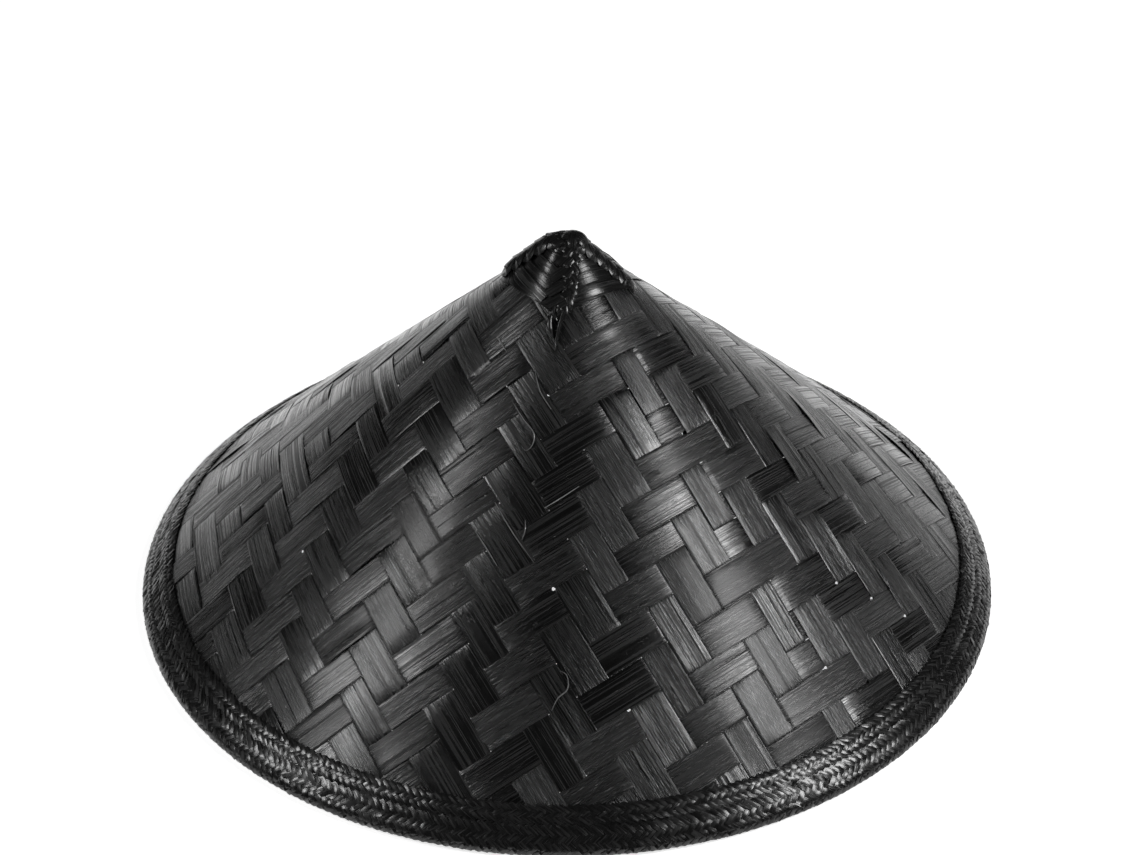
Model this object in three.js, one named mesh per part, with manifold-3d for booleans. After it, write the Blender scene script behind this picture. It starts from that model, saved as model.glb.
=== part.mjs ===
// Conical bamboo hat, painted black: a plaited cone with a braided rim, an open
// hexagonal lattice and a head ring inside it, and a chin cord with a slider bead.
// Millimetres, +Z up. The hat rests on its rim at z = 0, its axis is the Z axis,
// and its front faces -Y. Azimuths run from the front (-Y) towards +X.
import * as THREE from 'three';
import { mergeVertices } from 'three/addons/utils/BufferGeometryUtils.js';
import Module from 'manifold-3d';

// ---- driving dimensions ----
const SEGMENTS = 60;            // facets round the cone and its rim
const LATTICE_SEGMENTS = 30;    // every second one of them round the lattice
const RING_SEGMENTS = 40;       // round the head ring
const EDGE_R = 198.4;           // radius of the reference edge of the cone
const EDGE_Z = 3.2;             // its height over the resting plane
const SLOPE = 0.882;            // height over radius: the cone unrolls to 270 degrees
const WALL = 1.6;               // plaited wall: two crossing layers of strip
const GAP = 0.3;                // between pieces that touch

const BRAID_WIDTH = 18.2;       // outer braid, up the slant
const BRAID_THICK = 1.9;
const BRAID_ROW = 9.2;          // where its two rows meet
const OUTER_R = 200;            // the hat's greatest radius
const FOOT_OUT = 198.8;         // flat foot of the rim that the hat rests on
const FOOT_IN = 195.6;

const HOOP_FROM = 1.9, HOOP_TO = 7.4, HOOP_THICK = 2.2;        // smooth hoop inside the edge
const INNER_BRAID_FROM = 7.8, INNER_BRAID_TO = 18.3, INNER_BRAID_THICK = 2.1;

const LATTICE_FROM = 18.8, LATTICE_TO = 250, LATTICE_THICK = 1.4;
const LATTICE_SPACING = 42;     // between the middles of parallel strips
const LATTICE_STRIP = 7.5;      // width of a strip
const LATTICE_TURN = 300;       // degrees of hexagonal lattice that close round the cone
const LATTICE_HOLES = { from: 45, to: 224 };   // middles of the openings, from the apex down the slant

const RING_R_IN = 90.6, RING_R_OUT = 92.2;     // openwork band over the head hoop
const RING_BOTTOM = 33.6;
const RING_UNITS = 18;
const HEAD_HOOP = { r: 91.4, z: 31.0, wide: 4.4, high: 4.4 };

const CAP_ARM = 41;             // from the apex to the end of a ridge arm, down the slant
const CAP_ARM_AZIMUTH = -6;     // degrees, of the front arm
const CAP_THICK = 1.5;
const RIDGE_HIGH = 2.6, RIDGE_HALF = 4.2;

const CORD_D = 2.5;
const CORD_SIDES = 8;
const KNOT_R = 3.2;
const KNOT_AT = { x: 180.6, z: 8.7 };
const BEAD = { r: 7, y: 104, z: 7.3 };

// ---- the cone: s runs up the slant from the edge, n stands out from the outer face ----
const COS = 1 / Math.hypot(1, SLOPE);
const SIN = SLOPE * COS;
const SLANT = EDGE_R / COS;     // from the edge to the apex
const flank = (s, n) => new THREE.Vector2(EDGE_R - s * COS + n * SIN, EDGE_Z + s * SIN + n * COS);
const coneZ = (r, n) => EDGE_Z + (EDGE_R - r) * SLOPE + n / COS;
const rad = THREE.MathUtils.degToRad;
const deg = THREE.MathUtils.radToDeg;

// ---- materials ----
const bamboo = (colour, roughness) => new THREE.MeshStandardMaterial({ color: colour, roughness, metalness: 0 });
const BLACK_STRIP = bamboo(0x17171a, 0.34);
const BLACK_BRAID = bamboo(0x19191b, 0.42);
const BLACK_INNER = bamboo(0x141416, 0.5);
const BLACK_HOOP = bamboo(0x1d1d1f, 0.38);
const BLACK_CORD = bamboo(0x101011, 0.8);
const BLACK_BEAD = bamboo(0x121213, 0.3);

const hat = new THREE.Group();
function place(name, geometry, material) {
  const mesh = new THREE.Mesh(geometry, material);
  mesh.name = name;
  hat.add(mesh);
  return mesh;
}

// A ring or bowl turned about Z. The profile runs anticlockwise, radius to the right and height up.
function turned(profile, closed = true, segments = SEGMENTS) {
  const points = closed ? [...profile, profile[0].clone()] : profile;
  const geometry = new THREE.LatheGeometry(points, segments);
  geometry.rotateX(Math.PI / 2);
  return geometry;
}
const rz = (r, z) => new THREE.Vector2(r, z);

// ---- joining and cutting ----
const wasm = await Module();
wasm.setup();
function solid(geometry) {
  const g = geometry.clone();
  g.deleteAttribute('normal');
  g.deleteAttribute('uv');
  const merged = mergeVertices(g, 1e-4);
  return new wasm.Manifold(new wasm.Mesh({
    numProp: 3,
    vertProperties: new Float32Array(merged.attributes.position.array),
    triVerts: new Uint32Array(merged.index.array),
  }));
}
function geometryOf(manifold) {
  const mesh = manifold.getMesh();
  const g = new THREE.BufferGeometry();
  g.setAttribute('position', new THREE.BufferAttribute(new Float32Array(mesh.vertProperties), 3));
  g.setIndex(new THREE.BufferAttribute(new Uint32Array(mesh.triVerts), 1));
  g.computeVertexNormals();
  return g;
}
function pierced(geometry, cutters) {
  let body = solid(geometry);
  for (const cutter of cutters) body = body.subtract(solid(cutter));
  return geometryOf(body);
}
// A prism of an outline, its first axis along u, its second along v and its depth centred along w.
function prism(outline, depth, at, u, v, w) {
  const shape = new THREE.Shape(outline.map(([a, b]) => new THREE.Vector2(a, b)));
  const g = new THREE.ExtrudeGeometry(shape, { depth, bevelEnabled: false, steps: 1 });
  g.translate(0, 0, -depth / 2);
  g.applyMatrix4(new THREE.Matrix4().makeBasis(u, v, w).setPosition(at));
  return g;
}

// ---- the plaited cone ----
place('cone_shell', turned([
  rz(0, coneZ(0, -WALL)),
  flank(1.5, -WALL),
  flank(1.5, 0),
  flank(SLANT * 0.5, 0),
  rz(0, coneZ(0, 0)),
], false), BLACK_STRIP);

// ---- the rim: outer braid folded under the edge, smooth hoop, inner braid ----
place('rim_braid_outer', turned([
  rz(FOOT_IN, 0),
  rz(FOOT_OUT, 0),
  rz(OUTER_R - 0.3, 0.9),
  rz(OUTER_R, 2.4),
  flank(0.4, GAP + BRAID_THICK),
  flank(BRAID_ROW - 2.2, GAP + BRAID_THICK),
  flank(BRAID_ROW, GAP + BRAID_THICK - 0.6),
  flank(BRAID_ROW + 2.2, GAP + BRAID_THICK),
  flank(BRAID_WIDTH - 1.2, GAP + BRAID_THICK),
  flank(BRAID_WIDTH, GAP + BRAID_THICK - 0.7),
  flank(BRAID_WIDTH, GAP),
  flank(1.1, GAP),
  flank(1.1, -WALL),
  rz(FOOT_IN + 0.5, 1.6),
]), BLACK_BRAID);

const inside = -WALL - GAP;
place('rim_hoop', turned([
  flank(HOOP_FROM, inside - HOOP_THICK * 0.6),
  flank(HOOP_FROM, inside),
  flank(HOOP_TO, inside),
  flank(HOOP_TO, inside - HOOP_THICK * 0.7),
  flank(HOOP_TO - 1.3, inside - HOOP_THICK),
  flank(HOOP_FROM + 1.4, inside - HOOP_THICK),
]), BLACK_HOOP);

place('rim_braid_inner', turned([
  flank(INNER_BRAID_FROM, inside - INNER_BRAID_THICK * 0.7),
  flank(INNER_BRAID_FROM, inside),
  flank(INNER_BRAID_TO, inside),
  flank(INNER_BRAID_TO, inside - INNER_BRAID_THICK * 0.6),
  flank(INNER_BRAID_TO - 1.4, inside - INNER_BRAID_THICK),
  flank(INNER_BRAID_FROM + 1.2, inside - INNER_BRAID_THICK),
]), BLACK_BRAID);

// ---- the hexagonal lattice against the inside of the cone ----
// A flat triangular grid of opening middles turns through LATTICE_TURN degrees and closes round the cone.
function onCone(rho, azimuth, n) {
  const p = flank(SLANT - rho, n);
  return new THREE.Vector3(p.x * Math.sin(azimuth), -p.x * Math.cos(azimuth), p.y);
}
function latticeOpenings() {
  const apart = 2 * LATTICE_SPACING / Math.sqrt(3);
  const corner = (LATTICE_SPACING - LATTICE_STRIP) / Math.sqrt(3);
  const span = Math.ceil(LATTICE_HOLES.to / apart) + 1;
  const cutters = [];
  for (let i = -span; i <= span; i++) {
    for (let j = -span; j <= span; j++) {
      const x = apart * (i + j / 2), y = apart * j * Math.sqrt(3) / 2;
      const rho = Math.hypot(x, y);
      const turn = (deg(Math.atan2(y, x)) + 360) % 360;
      if (rho < LATTICE_HOLES.from || rho > LATTICE_HOLES.to || turn >= LATTICE_TURN - 1e-6) continue;
      const azimuthOf = (px, py) => {
        const t = deg(Math.atan2(py, px)) - turn;
        return rad((turn + ((t + 540) % 360) - 180) * 360 / LATTICE_TURN);
      };
      const middle = azimuthOf(x, y);
      const at = onCone(rho, middle, inside - LATTICE_THICK / 2);
      const u = new THREE.Vector3(Math.cos(middle), Math.sin(middle), 0);
      const v = new THREE.Vector3(-COS * Math.sin(middle), COS * Math.cos(middle), SIN);
      const w = new THREE.Vector3().crossVectors(u, v);
      const outline = [];
      for (let k = 0; k < 6; k++) {
        const px = x + corner * Math.cos(rad(60 * k)), py = y + corner * Math.sin(rad(60 * k));
        const p = onCone(Math.hypot(px, py), azimuthOf(px, py), inside - LATTICE_THICK / 2).sub(at);
        outline.push([p.dot(u), p.dot(v)]);
      }
      cutters.push(prism(outline, 22, at, u, v, w));
    }
  }
  return cutters;
}
place('inner_lattice', pierced(turned([
  flank(LATTICE_FROM, inside - LATTICE_THICK),
  flank(LATTICE_FROM, inside),
  flank(LATTICE_TO, inside),
  flank(LATTICE_TO, inside - LATTICE_THICK),
], true, LATTICE_SEGMENTS), latticeOpenings()), BLACK_INNER);

// ---- the head ring ----
const bandTop = (r) => coneZ(r / Math.cos(Math.PI / LATTICE_SEGMENTS), inside - LATTICE_THICK - GAP);
const WINDOWS = [               // outlines in the band: across and up, and how far round from the unit's middle
  { turn: 0, outline: [[0, 40], [10.5, 52], [10.5, 70], [0, 83], [-10.5, 70], [-10.5, 52]] },
  { turn: 0.5, outline: [[-7.5, 36.4], [7.5, 36.4], [0, 47]] },
];
function ringWindows() {
  const cutters = [];
  for (let k = 0; k < RING_UNITS; k++) {
    for (const { turn, outline } of WINDOWS) {
      const a = rad((k + turn) * 360 / RING_UNITS);
      const u = new THREE.Vector3(Math.cos(a), Math.sin(a), 0);
      const v = new THREE.Vector3(0, 0, 1);
      const w = new THREE.Vector3().crossVectors(u, v);
      cutters.push(prism(outline, 12, new THREE.Vector3(w.x * RING_R_OUT, w.y * RING_R_OUT, 0), u, v, w));
    }
  }
  return cutters;
}
place('head_ring_band', pierced(turned([
  rz(RING_R_IN, RING_BOTTOM),
  rz(RING_R_OUT, RING_BOTTOM),
  rz(RING_R_OUT, bandTop(RING_R_OUT)),
  rz(RING_R_IN, bandTop(RING_R_OUT)),
], true, RING_SEGMENTS), ringWindows()), BLACK_INNER);

const hoopSection = Array.from({ length: 6 }, (_, k) => {
  const a = rad(30 + 60 * k), round = 1 / Math.cos(rad(30));
  return rz(HEAD_HOOP.r + round * HEAD_HOOP.wide / 2 * Math.cos(a), HEAD_HOOP.z + round * HEAD_HOOP.high / 2 * Math.sin(a));
});
place('head_ring_hoop', turned(hoopSection, true, RING_SEGMENTS), BLACK_HOOP);

// ---- the apex cap: a four-sided patch on the tip, with a lashed ridge to each corner ----
const TIP = [                   // radius, and how far the rounded tip stands over a sharp cone
  { r: 0, up: 0.1 }, { r: 3, up: 2.1 }, { r: 6, up: 1.9 }, { r: 10, up: 0.9 }, { r: 16, up: 0 }, { r: 60, up: 0 },
];
function tipUp(r) {
  const k = Math.max(1, TIP.findIndex((row) => row.r >= r));
  const a = TIP[k - 1], b = TIP[k];
  return THREE.MathUtils.mapLinear(r, a.r, b.r, a.up, b.up);
}
const CAP_STEPS = [0.07, 0.15, 0.3, 0.5, 0.7, 0.88, 1];
function apexCap() {
  const half = 45 * COS;        // half the unrolled angle between two arms
  const profile = [rz(0, 0), rz(CAP_STEPS[4], 0), rz(1, 0), ...CAP_STEPS.map((t) => rz(t, 1)).reverse(), rz(0, 1)];
  const g = new THREE.LatheGeometry(profile, 60);
  const p = g.attributes.position;
  for (let i = 0; i < p.count; i++) {
    const t = Math.hypot(p.getX(i), p.getZ(i)), layer = p.getY(i);
    const azimuth = t > 1e-9 ? deg(Math.atan2(p.getX(i), p.getZ(i))) : 0;
    const fromArm = Math.abs(((azimuth - CAP_ARM_AZIMUTH + 45 + 720) % 90) - 45) * COS;
    const reach = CAP_ARM * Math.cos(rad(half)) / Math.cos(rad(half - fromArm));
    const rho = t * reach;
    const off = rho * Math.sin(rad(fromArm));
    const ridge = RIDGE_HIGH * Math.max(0, 1 - (off / RIDGE_HALF) ** 2) * Math.min(1, rho / 9);
    const r = rho * COS;
    const z = layer < 0.5 ? coneZ(r, GAP) : coneZ(r, GAP + CAP_THICK + ridge) + tipUp(r);
    p.setXYZ(i, r * Math.sin(rad(azimuth)), -r * Math.cos(rad(azimuth)), z);
  }
  return g;
}
place('apex_cap', geometryOf(solid(apexCap())), BLACK_STRIP);

// ---- the chin cord, lying loosely on the resting plane under the hat ----
const STRAND = [                // one strand from its knot to the bead, on the -X side
  [-177.3, 1.0, 7.3], [-172.0, 3.5, 4.6], [-165.0, 9.0, 2.2], [-156.5, 18.5, 1.5], [-146.5, 35.0, 1.5],
  [-133.5, 55.0, 1.5], [-117.0, 74.0, 1.5], [-98.0, 91.0, 1.5], [-76.5, 106.0, 1.5], [-54.0, 118.5, 1.5],
  [-34.0, 127.5, 1.5], [-19.0, 131.0, 1.9], [-8.5, 128.0, 3.2], [-3.6, 120.5, 5.6], [-2.0, 111.4, 7.2],
];
const LOOP = [                  // the loop past the bead, from its -X side to its far end
  [-1.9, 96.6, 7.2], [-2.6, 89.0, 5.2], [-4.4, 80.0, 2.7], [-6.8, 68.0, 1.6], [-10.0, 52.0, 1.5],
  [-13.8, 33.0, 1.5], [-17.2, 14.0, 1.5], [-18.6, 1.0, 1.5], [-16.0, -10.5, 1.5], [-9.0, -17.2, 1.5], [0, -19.0, 1.5],
];
const across = ([x, y, z]) => [-x, y, z];
function cord(points, steps) {
  const section = new THREE.Shape(Array.from({ length: CORD_SIDES }, (_, k) => {
    const a = 2 * Math.PI * k / CORD_SIDES;
    return new THREE.Vector2(CORD_D / 2 * Math.cos(a), CORD_D / 2 * Math.sin(a));
  }));
  const path = new THREE.CatmullRomCurve3(points.map((p) => new THREE.Vector3(...p)));
  return new THREE.ExtrudeGeometry(section, { steps, bevelEnabled: false, extrudePath: path });
}
place('cord_left', cord(STRAND, 25), BLACK_CORD);
place('cord_right', cord(STRAND.map(across), 25), BLACK_CORD);
place('cord_loop', cord([...LOOP, ...LOOP.slice(0, -1).map(across).reverse()], 30), BLACK_CORD);

for (const [name, side] of [['cord_knot_left', -1], ['cord_knot_right', 1]]) {
  const knot = place(name, new THREE.SphereGeometry(KNOT_R, 12, 8), BLACK_CORD);
  knot.position.set(side * KNOT_AT.x, 0, KNOT_AT.z);
}
const bead = place('cord_bead', new THREE.SphereGeometry(BEAD.r, 16, 10), BLACK_BEAD);
bead.position.set(0, BEAD.y, BEAD.z);

export default hat;
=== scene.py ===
"""Looks of a conical bamboo hat, painted black: plaited strips on a cone, a braided rim, a lashed cap on
the tip, an open hexagonal lattice and a head ring inside, and a chin cord with a slider bead.
Millimetres in the tables, metres in the meshes. Azimuths run from the front (-Y) towards +X."""
import math

import bpy
import numpy as np
from mathutils import Matrix, Vector


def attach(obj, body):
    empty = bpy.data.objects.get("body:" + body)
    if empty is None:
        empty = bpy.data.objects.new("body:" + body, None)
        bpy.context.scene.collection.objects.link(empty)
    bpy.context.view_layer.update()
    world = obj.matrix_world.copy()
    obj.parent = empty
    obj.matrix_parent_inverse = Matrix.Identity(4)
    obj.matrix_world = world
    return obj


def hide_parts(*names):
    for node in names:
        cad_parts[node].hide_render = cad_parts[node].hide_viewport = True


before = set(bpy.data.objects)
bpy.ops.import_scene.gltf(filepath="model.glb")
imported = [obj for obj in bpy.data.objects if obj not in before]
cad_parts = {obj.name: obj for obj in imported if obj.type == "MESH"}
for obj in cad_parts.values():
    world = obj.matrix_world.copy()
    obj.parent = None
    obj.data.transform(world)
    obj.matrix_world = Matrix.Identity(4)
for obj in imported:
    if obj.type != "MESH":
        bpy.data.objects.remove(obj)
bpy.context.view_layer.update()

MM = 0.001
rng = np.random.default_rng(11)

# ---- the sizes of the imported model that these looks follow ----
EDGE_R, EDGE_Z, SLOPE = 198.4, 3.2, 0.882
COS = 1 / math.hypot(1, SLOPE)
SIN = SLOPE * COS
SLANT = EDGE_R / COS
APEX_Z = EDGE_Z + SLANT * SIN
INSIDE = -1.9                     # the back of the plaited wall, where the inner pieces lie

# =============================================================== camera
EYE = {"away": 1.06, "up": 33.7, "look_z": 0.0826, "lens": 73.26, "roll": -0.3}
cam = bpy.data.objects.new("camera", bpy.data.cameras.new("camera"))
bpy.context.scene.collection.objects.link(cam)
cam.data.sensor_fit = "HORIZONTAL"
cam.data.sensor_width = 36
cam.data.lens = EYE["lens"]
cam.data.shift_x = 0.0035
cam.data.shift_y = -0.0092
cam.data.clip_start = 0.02
e = math.radians(EYE["up"])
back = Vector((0, -math.cos(e), math.sin(e)))
cam.location = Vector((0, 0, EYE["look_z"])) + back * EYE["away"]
cam.rotation_mode = "QUATERNION"
look = (-back).to_track_quat("-Z", "Y")
cam.rotation_quaternion = look @ Matrix.Rotation(math.radians(EYE["roll"]), 3, "Z").to_quaternion()
bpy.context.scene.camera = cam


# =============================================================== meshes
class Skin:
    """Closed strips and tubes, each swept through rings of points, gathered into one mesh.
    lay holds (across, along, which strip) in mm at each point, tone three numbers from 0 to 1, and
    cross the direction square to the grain."""

    def __init__(self):
        self.points, self.quads, self.caps, self.lay, self.tone, self.cross = [], [], [], [], [], []
        self.count = 0

    def add(self, rings, lay, tone, loop=False):
        k, j = rings.shape[:2]
        ids = self.count + np.arange(k * j).reshape(k, j)
        a = ids if loop else ids[:-1]
        b = np.roll(ids, -1, 0) if loop else ids[1:]
        self.quads.append(np.stack([a, np.roll(a, -1, 1), np.roll(b, -1, 1), b], -1).reshape(-1, 4))
        if not loop:
            self.caps += [ids[0][::-1], ids[-1]]
        self.points.append(rings.reshape(-1, 3))
        self.lay.append(np.broadcast_to(lay, (k, j, 3)).reshape(-1, 3))
        self.tone.append(np.broadcast_to(tone, (k, j, 3)).reshape(-1, 3))
        cross = rings[:, 1] - rings[:, 0]
        cross = cross / np.maximum(np.linalg.norm(cross, axis=-1, keepdims=True), 1e-9)
        self.cross.append(np.broadcast_to(cross[:, None], rings.shape).reshape(-1, 3))
        self.count += k * j

    def build(self, name, material, sharp=38, replaces=()):
        me = bpy.data.meshes.new(name)
        v = np.concatenate(self.points) * MM
        q = np.concatenate(self.quads)
        loops = np.concatenate([q.ravel(), *self.caps]).astype(np.int32)
        totals = np.concatenate([np.full(len(q), 4), [len(c) for c in self.caps]]).astype(np.int32)
        starts = np.concatenate([[0], np.cumsum(totals)[:-1]]).astype(np.int32)
        me.vertices.add(len(v))
        me.vertices.foreach_set("co", v.astype(np.float32).ravel())
        me.loops.add(len(loops))
        me.loops.foreach_set("vertex_index", loops)
        me.polygons.add(len(totals))
        me.polygons.foreach_set("loop_start", starts)
        me.update(calc_edges=True)
        for key, rows in (("lay", self.lay), ("tone", self.tone), ("cross", self.cross)):
            at = me.attributes.new(key, "FLOAT_VECTOR", "POINT")
            at.data.foreach_set("vector", np.concatenate(rows).astype(np.float32).ravel())
        me.shade_smooth()
        me.set_sharp_from_angle(angle=math.radians(sharp))
        ob = bpy.data.objects.new(name, me)
        bpy.context.scene.collection.objects.link(ob)
        me.materials.append(material)
        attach(ob, "root")
        if replaces:
            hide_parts(*replaces)
        return ob


def unit(v):
    return v / np.maximum(np.linalg.norm(v, axis=-1, keepdims=True), 1e-12)


def on_cone(x, y, n, near=0.0):
    """A point of the cone unrolled about its apex (y down the front), n out of its outer face.
    near is an unrolled direction in radians within half a turn of all the points."""
    rho = np.hypot(x, y)
    phi = near + (np.arctan2(x, y) - near + np.pi) % (2 * np.pi) - np.pi
    az = phi / COS
    r = rho * COS + n * SIN
    return np.stack([r * np.sin(az), -r * np.cos(az), APEX_Z - rho * SIN + n * COS], -1)


def turned(az, r, z):
    return np.stack([r * np.sin(az), -r * np.cos(az), z + 0 * az], -1)


def strip_ring(w, t, round_=0.3, bulge=0.1):
    """Section of a narrow strip: (across, height) round it, for widths w of K places."""
    w = np.atleast_1d(w)
    c = np.stack([-w / 2, w / 2, w / 2, w * 0.3, 0 * w, -w * 0.3, -w / 2], -1)
    h = np.array([-t / 2, -t / 2, t / 2 - round_ * t, t / 2 + bulge * 0.7, t / 2 + bulge, t / 2 + bulge * 0.7, t / 2 - round_ * t])
    return c, np.broadcast_to(h, c.shape)


def strand(skin, xy, height, width, thick, place, tone, number=0.0, loop=False, bulge=0.12, roll=0.0):
    """A narrow strip along xy of an unrolled surface, at height over it. place turns (x, y, n) into a point."""
    xy = np.asarray(xy, float)
    if loop:
        t = unit(np.roll(xy, -1, 0) - np.roll(xy, 1, 0))
    else:
        t = unit(np.gradient(xy, axis=0))
    side = np.stack([t[:, 1], -t[:, 0]], -1)
    c, h = strip_ring(np.broadcast_to(width, len(xy)), thick, bulge=bulge)
    at = xy[:, None] + side[:, None] * c[..., None]
    rings = place(at[..., 0], at[..., 1], np.asarray(height)[:, None] + h + c * roll)
    run = np.concatenate([[0], np.cumsum(np.linalg.norm(np.diff(xy, axis=0), axis=1))])
    lay = np.stack([c, np.broadcast_to(run[:, None], c.shape), np.full(c.shape, number)], -1)
    skin.add(rings, lay, tone, loop)


def ribbon(skin, path, up, width, thick, tone, number=0.0, loop=False, bulge=0.12):
    """A narrow strip along a path in space, its face turned to up."""
    path = np.asarray(path, float)
    t = unit(np.roll(path, -1, 0) - np.roll(path, 1, 0)) if loop else unit(np.gradient(path, axis=0))
    side = unit(np.cross(up, t))
    n = np.cross(t, side)
    c, h = strip_ring(np.broadcast_to(width, len(path)), thick, bulge=bulge)
    rings = path[:, None] + side[:, None] * c[..., None] + n[:, None] * h[..., None]
    run = np.concatenate([[0], np.cumsum(np.linalg.norm(np.diff(path, axis=0), axis=1))])
    lay = np.stack([c, np.broadcast_to(run[:, None], c.shape), np.full(c.shape, number)], -1)
    skin.add(rings, lay, tone, loop)


def tube(skin, path, radius, sides, tone, loop=False, up=(0, 0, 1), relief=None):
    """A round tube along a path in space. relief(angle, run) scales its radius."""
    path = np.asarray(path, float)
    t = unit(np.roll(path, -1, 0) - np.roll(path, 1, 0)) if loop else unit(np.gradient(path, axis=0))
    side = unit(np.cross(np.broadcast_to(np.asarray(up, float), path.shape), t))
    n = np.cross(t, side)
    run = np.concatenate([[0], np.cumsum(np.linalg.norm(np.diff(path, axis=0), axis=1))])
    a = 2 * np.pi * np.arange(sides) / sides
    r = np.broadcast_to(np.asarray(radius, float).reshape(-1, 1), (len(path), sides))
    if relief is not None:
        r = r * relief(a[None], run[:, None])
    rings = path[:, None] + (side[:, None] * np.cos(a)[None, :, None] + n[:, None] * np.sin(a)[None, :, None]) * r[..., None]
    lay = np.stack(np.broadcast_arrays(a[None] * np.mean(radius), run[:, None], 0.0), -1)
    skin.add(rings, lay, tone, loop)


def catmull(points, steps):
    """The centripetal curve through the points, with that many steps from each to the next."""
    p = np.array(points, float)
    p = np.vstack([2 * p[0] - p[1], p, 2 * p[-1] - p[-2]])
    out = []
    for x0, x1, x2, x3 in zip(p[:-3], p[1:-2], p[2:-1], p[3:]):
        d0, d1, d2 = (math.sqrt(np.linalg.norm(b - a)) for a, b in ((x0, x1), (x1, x2), (x2, x3)))
        t1 = ((x1 - x0) / d0 - (x2 - x0) / (d0 + d1) + (x2 - x1) / d1) * d1
        t2 = ((x2 - x1) / d1 - (x3 - x1) / (d1 + d2) + (x3 - x2) / d2) * d1
        for s in np.arange(steps) / steps:
            out.append(x1 + t1 * s + (-3 * x1 + 3 * x2 - 2 * t1 - t2) * s**2 + (2 * x1 - 2 * x2 + t1 + t2) * s**3)
    return np.array(out + [p[-2]])


def evenly(path, step):
    d = np.concatenate([[0], np.cumsum(np.linalg.norm(np.diff(path, axis=0), axis=1))])
    k = max(2, round(d[-1] / step))
    at = np.linspace(0, d[-1], k + 1)
    return np.stack([np.interp(at, d, path[:, i]) for i in range(path.shape[1])], -1)


# =============================================================== materials
def nodes_of(name):
    m = bpy.data.materials.new(name)
    m.use_nodes = True
    nt = m.node_tree
    nt.nodes.clear()
    out = nt.nodes.new("ShaderNodeOutputMaterial")
    p = nt.nodes.new("ShaderNodeBsdfPrincipled")
    nt.links.new(p.outputs[0], out.inputs[0])
    return m, nt, p


def put(socket, value, nt):
    if isinstance(value, bpy.types.NodeSocket):
        nt.links.new(value, socket)
    else:
        socket.default_value = value


def maths(nt, op, a, b=None, c=None, clamp=False):
    n = nt.nodes.new("ShaderNodeMath")
    n.operation = op
    n.use_clamp = clamp
    for s, v in zip(n.inputs, (a, b, c)):
        if v is not None:
            put(s, v, nt)
    return n.outputs[0]


def vmaths(nt, op, a, b):
    n = nt.nodes.new("ShaderNodeVectorMath")
    n.operation = op
    put(n.inputs[0], a, nt)
    put(n.inputs[1], b, nt)
    return n.outputs[0]


def attribute(nt, name):
    n = nt.nodes.new("ShaderNodeAttribute")
    n.attribute_type = "GEOMETRY"
    n.attribute_name = name
    return n.outputs["Vector"]


def split(nt, vector):
    n = nt.nodes.new("ShaderNodeSeparateXYZ")
    put(n.inputs[0], vector, nt)
    return n.outputs


def noise(nt, vector, scale, detail=3.0, rough=0.55, distortion=0.0):
    n = nt.nodes.new("ShaderNodeTexNoise")
    put(n.inputs["Vector"], vector, nt)
    n.inputs["Scale"].default_value = scale
    n.inputs["Detail"].default_value = detail
    n.inputs["Roughness"].default_value = rough
    n.inputs["Distortion"].default_value = distortion
    return n.outputs["Fac"]


def spread(nt, value, lo, hi, to_lo=0.0, to_hi=1.0):
    n = nt.nodes.new("ShaderNodeMapRange")
    n.interpolation_type = "SMOOTHSTEP"
    put(n.inputs["Value"], value, nt)
    for key, v in (("From Min", lo), ("From Max", hi), ("To Min", to_lo), ("To Max", to_hi)):
        put(n.inputs[key], v, nt)
    return n.outputs["Result"]


def mixed(nt, fac, a, b):
    n = nt.nodes.new("ShaderNodeMix")
    n.data_type = "RGBA"
    put(n.inputs[0], fac, nt)
    put(n.inputs[6], a, nt)
    put(n.inputs[7], b, nt)
    return n.outputs[2]


def bumped(nt, height, strength, distance, normal=None):
    n = nt.nodes.new("ShaderNodeBump")
    n.inputs["Strength"].default_value = strength
    n.inputs["Distance"].default_value = distance
    put(n.inputs["Height"], height, nt)
    if normal is not None:
        put(n.inputs["Normal"], normal, nt)
    return n.outputs[0]


def grey(v, warm=0.0):
    return (v * (1 + warm), v, v * (1 - warm), 1)


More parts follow.
